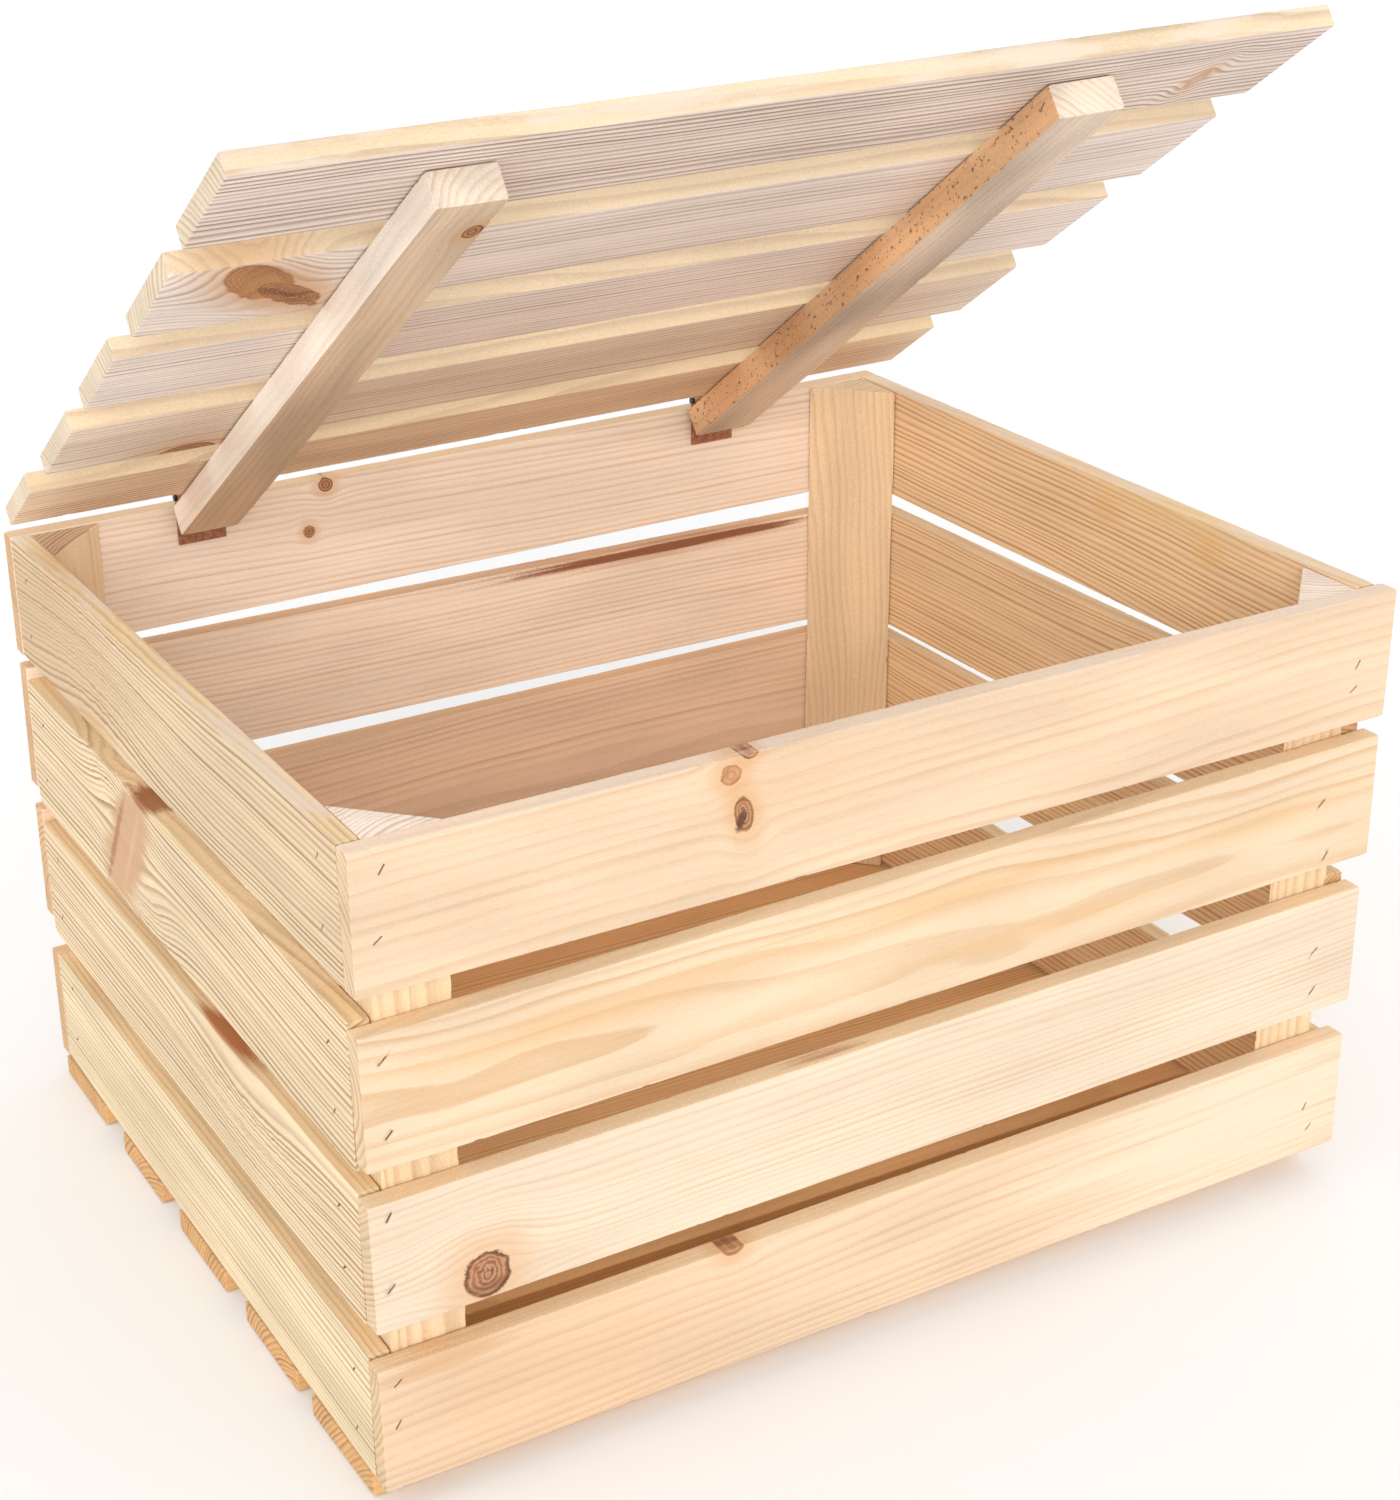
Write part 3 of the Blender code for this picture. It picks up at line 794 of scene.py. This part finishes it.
# Which way a wall slat's outer face and its length point.
OUT = {"front": (0, -1, 0), "rear": (0, 1, 0), "left": (-1, 0, 0), "right": (1, 0, 0)}
ALONG = {"front": (1, 0, 0), "rear": (-1, 0, 0), "left": (0, -1, 0), "right": (0, 1, 0)}

# What is special about a board, in mm from its centre.
# Pith: across and behind the board. Ring: spacing. Slope: how the pith runs out of line with the board.
# Knots: place along, place across, radius, length over width, lean, colour, strength of the outline.
# Swirls: the first five of those; they only bend the grain.
# Streaks: place along, place across, half length, half width, strength, colour, lean, start of fading.
# The pale colours of the rear and lid boards are partly painted light, making up for the shade inside
# the crate and under the lid.
LOOKS = {
    "front_slat_1": dict(
        pith=(-60, -70), ring=3.4, contrast=0.34, edge="EED6BE", grey=0.5,
        knots=[(-89.3, 23.0, 4.4, 1.1, 0.0, "C08A60", 0.40),
               (-83.4, 4.8, 7.8, 0.58, 0.25, "7A4A2E", 0.65),
               (-80.5, 31.5, 3.6, 1.2, 0.0, "9A6038", 0.40)],
        streaks=[(-60, 14, 60, 22, 0.16, "C98F5C", 0.0, 0.35),
                 (-84.6, 2.2, 2.6, 5.0, 0.85, "54301E", 0.25, 0.40)]),
    "front_slat_2": dict(
        pith=(-8, -24), ring=4.6, contrast=0.60, slope=(0.02, 0.01), wander=6,
        pale="E5CBAC", dark="C99E6C",
        streaks=[(-150, 10, 130, 13, 0.40, "D9A766", 0.02, 0.10),
                 (20, 14, 120, 9, 0.45, "D9A766", 0.0, 0.10),
                 (70, -14, 110, 7, 0.40, "DCAE72", 0.0, 0.10),
                 (190, 4, 90, 10, 0.35, "DCAE72", 0.0, 0.10)]),
    "front_slat_3": dict(
        pith=(70, -40), ring=2.6, contrast=0.36, pale="E6D1B8",
        knots=[(-201.4, -18.2, 10.8, 1.0, 0.0, "84503A", 0.90)],
        streaks=[(-41, 33.5, 32, 5, 0.75, "AE6336", 0.0, 0.35)]),
    "front_slat_4": dict(
        pith=(50, -60), ring=3.2, contrast=0.40,
        knots=[(-85.7, 31.5, 5.0, 1.15, 0.0, "B07A50", 0.35)],
        streaks=[(-222, 25, 38, 9, 0.4, "C08A56", 0.0, 0.35),
                 (-170, 0, 130, 60, 0.35, "D0A474", 0.0, 0.10),
                 (190, 0, 140, 60, 0.70, "F0DAC0", 0.0, 0.20)]),
    "left_slat_1": dict(
        pith=(90, -52), ring=2.5, grey=0.7, pale="E6CEAA",
        swirls=[(-85, -36, 17, 2.2, 0.0)],
        streaks=[(-85, -36, 34, 15, 0.6, "D9AC70", 0.0, 0.35),
                 (-140, 0, 140, 60, 0.38, "C49C74", 0.0, 0.20)]),
    "left_slat_2": dict(
        pith=(-80, -50), ring=2.5,
        swirls=[(-55, 2, 13, 1.3, 0.5)],
        streaks=[(-58, 0, 27, 46, 0.90, "CDA27C", 0.62, 0.65),
                 (-72, -2, 4.0, 40, 0.75, "A87448", 0.62, 0.30),
                 (-50, 2, 3.5, 40, 0.40, "E4BC94", 0.62, 0.20),
                 (-30, 33, 17, 6, 0.9, "9C6238", 0.6, 0.45)]),
    "left_slat_3": dict(
        pith=(90, -60), ring=2.4,
        swirls=[(70, 30, 14, 2.5, 0.0)],
        streaks=[(52, 31, 40, 5, 0.9, "A8602C", 0.0, 0.35)]),
    "left_slat_4": dict(pith=(110, -70), ring=2.5, contrast=0.7, patch=0.14, pale="F2DEB8"),
    "rear_slat_1": dict(
        pith=(90, -60),
        knots=[(84.6, 27.0, 3.6, 1.1, 0.0, "8A5230", 0.60),
               (95.2, 3.8, 3.1, 1.0, 0.0, "8A5230", 0.60)]),
    "rear_slat_2": dict(
        pith=(90, -40), ring=2.9, contrast=0.45, pale="FCE6D0", dark="CA9E78",
        streaks=[(-104, 29.0, 118, 8, 0.5, "BC7F56", 0.0, 0.35),
                 (-110, 29.2, 118, 3.0, 0.95, "8E5436", 0.0, 0.55)]),
    "rear_slat_3": dict(pith=(-30, -35), ring=3.2, pale="F2D4B8", dark="C69872"),
    "rear_slat_4": dict(pale="F2D4B8", dark="C69872"),
    "right_slat_1": dict(
        pith=(95, -40), ring=2.8, grey=0.5,
        streaks=[(-60, 24, 60, 9, 0.35, "F0D08E", 0.0, 0.35),
                 (-96, 16, 16, 12, 0.45, "EEC074", 0.0, 0.20),
                 (-20, 14, 14, 12, 0.40, "EEC074", 0.0, 0.20)]),
    "right_slat_2": dict(pith=(-95, -50), ring=2.5),
    "right_slat_3": dict(pith=(90, -50), ring=2.5),
    "lid_slat_1": dict(
        pith=(95, -60), grey=0.6, pale="F2E2D6", dark="93786A",
        knots=[(204, 7, 7.4, 0.5, 0.35, "DCC6B4", 0.25)]),
    "lid_slat_2": dict(
        pith=(-60, -30), ring=3.6, contrast=0.6, pale="FCF0E6",
        knots=[(-207, -9.5, 19.5, 0.72, -0.75, "8E5A3C", 0.20),
               (-189, 9, 16.5, 0.62, -1.40, "8E5A3C", 0.0)]),
    "lid_slat_3": dict(pith=(95, -50), ring=2.8, pale="FFF5EC", dark="BCA294", contrast=0.85),
    "lid_slat_4": dict(
        pith=(85, -50), ring=2.6, pale="FCECD8", dark="B4988A",
        knots=[(-182, 30, 9.5, 1.5, 0.0, "A8764E", 0.60)]),
    "lid_slat_5": dict(pith=(95, -40), ring=2.8, pale="FAE2C4", dark="B8927A"),
    "lid_batten_left": dict(
        pith=(24, -30), edge="FFF2E4", pale="E4CCB0", dark="B8926E", patch=0.22, wander=5,
        knots=[(162, 10, 4.0, 1.5, 0.0, "7C4A34", 0.30)]),
    "lid_batten_right": dict(
        pith=(-60, -50), edge="F4BE88", pale="E8D6C2", dark="B0927A", specks=0.8, patch=0.3),
    "corner_post_front_left": dict(end="FAEBDC", end_dark="D4B294"),
    "corner_post_front_right": dict(end="F2E0D0", end_dark="C8AC96"),
    "corner_post_rear_right": dict(
        wander=6, slope=(0.05, 0.03), swirls=[(40, 12, 14, 2.0, 0.3)]),
    "corner_post_rear_left": dict(end="D0A47C", end_dark="6E4A32"),
}

# The staple steel's dark colour is partly painted shade for the pits the staples sit in.
STEEL = metal("staple_steel", "5E5040", "A8926E", 0.40)
STAPLE = wire_staple()
PIT = pit_mesh()


# Each family and how its boards' names start.
FAMILY_STARTS = (("front", "front"), ("rear", "rear"), ("left", "side"), ("right", "right"),
                 ("corner", "post"), ("floor", "floor"), ("lid_slat", "lid"), ("lid_batten", "batten"))


def family_of(node):
    for start, family in FAMILY_STARTS:
        if node.startswith(start):
            return family


def look_of(node, number):
    look = dict(DEFAULTS, seed=number * 13.7 + 2.0)
    look.update(FAMILIES[family_of(node)])
    chance = random.Random(number)
    look["pith"] = (chance.choice((-1, 1)) * chance.uniform(20, 100), -chance.uniform(25, 70))
    look["slope"] = (chance.uniform(-0.03, 0.03), chance.uniform(-0.02, 0.02))
    look.update(LOOKS.get(node, {}))
    return look


def body_of(node):
    bodies = frame["record"]["behaviour"]["bodies"]
    return next(name for name, members in bodies.items() if node in members)


def place_piece(name, mesh, matrix, node, material):
    """Put a detailed piece where a CAD node is, in place of it."""
    piece = bpy.data.objects.new(name, mesh)
    piece.matrix_world = matrix
    SCENE.collection.objects.link(piece)
    piece.data.materials.clear()
    piece.data.materials.append(material)
    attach(piece, body_of(node))
    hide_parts(node)
    return piece


# First numbers of the boards' meshes and of their staples, and of the posts.
MESH_SEED = 100
STAPLE_SEED = 300
POST_NUMBER = 60


def add_staples(node, mesh, matrix, places):
    """Sink a board's staples into pits, and give the board's mesh back with the pits cut."""
    mesh = cut_pits(mesh, copies(node + "_pits", PIT, places))
    crowns = [place @ Matrix.Translation((0, 0, -STAPLE_SINK * MM)) for place in places]
    staples = bpy.data.objects.new(node + "_staples", copies(node + "_staples", STAPLE, crowns))
    staples.matrix_world = matrix
    SCENE.collection.objects.link(staples)
    staples.data.materials.append(STEEL)
    staples.data.shade_smooth()
    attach(staples, body_of(node))
    return mesh


def straight_boards():
    number = 0
    for node in sorted(NODES):
        family = family_of(node)
        if family is None or family == "post":
            continue
        number += 1
        if family in ("floor", "lid"):
            outward, along = (0, 0, 1), (1, 0, 0)
        elif family == "batten":
            outward, along = (0, 0, 1), (0, -1, 0)
        else:
            side = node.split("_")[0]
            outward, along = OUT[side], ALONG[side]
        matrix, size = node_frame(node, outward, along)
        look = look_of(node, number)
        y, z = size[1] / 2, size[2] / 2
        corners = [(-y, -z), (y, -z), (y, z), (-y, z)]
        rough = 0.3 + look["sawn"] * 0.7
        mesh = board_mesh(node + "_wood", corners, size[0], MESH_SEED + number, rough)
        places = staple_places(node, size, STAPLE_SEED + number)
        if places:
            mesh = add_staples(node, mesh, matrix, places)
        place_piece(node + "_board", mesh, matrix, node, pine(node + "_pine", look))


def posts():
    number = POST_NUMBER
    for node in sorted(NODES):
        if family_of(node) != "post":
            continue
        number += 1
        low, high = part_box(node)
        turn_x = 1 if (low.x + high.x) < 0 else -1
        turn_y = 1 if (low.y + high.y) < 0 else -1
        corner = Vector((low.x if turn_x > 0 else high.x, low.y if turn_y > 0 else high.y,
                         (low.z + high.z) / 2))
        leg = (high.x - low.x) / MM
        axis_x = Vector((0, 0, 1))
        axis_y = Vector((turn_x, 0, 0))
        axis_z = axis_x.cross(axis_y)
        side_z = turn_y * axis_z.y
        corners = [(0, 0), (leg, 0), (0, side_z * leg)]
        if side_z < 0:
            corners.reverse()
        matrix = Matrix((axis_x, axis_y, axis_z)).transposed().to_4x4()
        matrix.translation = corner
        look = look_of(node, number)
        height = (high.z - low.z) / MM
        mesh = board_mesh(node + "_wood", corners, height, MESH_SEED + number, 1.0)
        place_piece(node + "_post", mesh, matrix, node, pine(node + "_pine", look))


def hinges():
    dark = metal("dark_hinge_steel", "2B2B30", "5A5A62", 0.36)
    bronzed = metal("bronzed_hinge_steel", "A87860", "C89A80", 0.46)
    for node, thing in NODES.items():
        if node.startswith(("hinge_", "screw_")):
            thing.data.materials.clear()
            thing.data.materials.append(bronzed if node.startswith("hinge_crate_leaf") else dark)


# ---------------------------------------------------------------- studio

# Each soft sun: name, direction towards it, strength and how wide it is in the sky.
SUNS = (
    ("key", (-0.457, -0.791, 0.407), 1.35, 36),
    ("fill", (0.17, -0.98, 0.10), 0.15, 40),
)
WORLD_STRENGTH = 0.97
FLOOR_ALBEDO = 0.90
FLOOR_RADIUS = 40
FLOOR_CORNERS = 64
FLOOR_DROP = -0.0004


def studio():
    world = bpy.data.worlds.new("studio")
    world.use_nodes = True
    world.node_tree.nodes["Background"].inputs["Color"].default_value = (1.0, 1.0, 1.0, 1)
    world.node_tree.nodes["Background"].inputs["Strength"].default_value = WORLD_STRENGTH
    SCENE.world = world
    floor_mesh = bpy.data.meshes.new("floor")
    corners = [math.tau * i / FLOOR_CORNERS for i in range(FLOOR_CORNERS)]
    ring = [(FLOOR_RADIUS * math.cos(a), FLOOR_RADIUS * math.sin(a), FLOOR_DROP) for a in corners]
    floor_mesh.from_pydata(ring, [], [tuple(range(FLOOR_CORNERS))])
    floor = bpy.data.objects.new("studio_floor", floor_mesh)
    SCENE.collection.objects.link(floor)
    tree = Tree("studio_floor")
    tree.shader.inputs["Base Color"].default_value = (FLOOR_ALBEDO, FLOOR_ALBEDO, FLOOR_ALBEDO, 1)
    tree.shader.inputs["Roughness"].default_value = 0.9
    tree.shader.inputs["Specular IOR Level"].default_value = 0.1
    floor.data.materials.append(tree.material)
    for name, toward, strength, softness in SUNS:
        lamp = bpy.data.lights.new(name, "SUN")
        lamp.energy = strength
        lamp.angle = math.radians(softness)
        thing = bpy.data.objects.new(name, lamp)
        thing.rotation_mode = "QUATERNION"
        thing.rotation_quaternion = Vector(toward).to_track_quat("Z", "Y")
        SCENE.collection.objects.link(thing)
    SCENE.view_settings.view_transform = "Standard"


# The camera's place in metres, its azimuth, downward tilt and roll in degrees, and its lens.
CAMERA_PLACE = (-0.5789, -0.9970, 0.7298)
CAMERA_TURN = (-26.74, 24.42, -1.87)
CAMERA_LENS = 63.96
CAMERA_SENSOR = 36
CAMERA_SHIFT = 0.12


def camera():
    """The camera: stands before the crate's left front corner and looks down into it."""
    azimuth, elevation, roll = (math.radians(angle) for angle in CAMERA_TURN)
    ahead = Vector((-math.sin(azimuth) * math.cos(elevation), math.cos(azimuth) * math.cos(elevation),
                    -math.sin(elevation)))
    right = ahead.cross(Vector((0, 0, 1))).normalized()
    up = right.cross(ahead)
    turned_right = math.cos(roll) * right + math.sin(roll) * up
    turned_up = -math.sin(roll) * right + math.cos(roll) * up
    data = bpy.data.cameras.new("camera")
    data.lens = CAMERA_LENS
    data.sensor_width = CAMERA_SENSOR
    data.shift_x = CAMERA_SHIFT
    thing = bpy.data.objects.new("camera", data)
    matrix = Matrix((turned_right, turned_up, -ahead)).transposed().to_4x4()
    matrix.translation = Vector(CAMERA_PLACE)
    thing.matrix_world = matrix
    SCENE.collection.objects.link(thing)
    SCENE.camera = thing


camera()
straight_boards()
posts()
hinges()
studio()
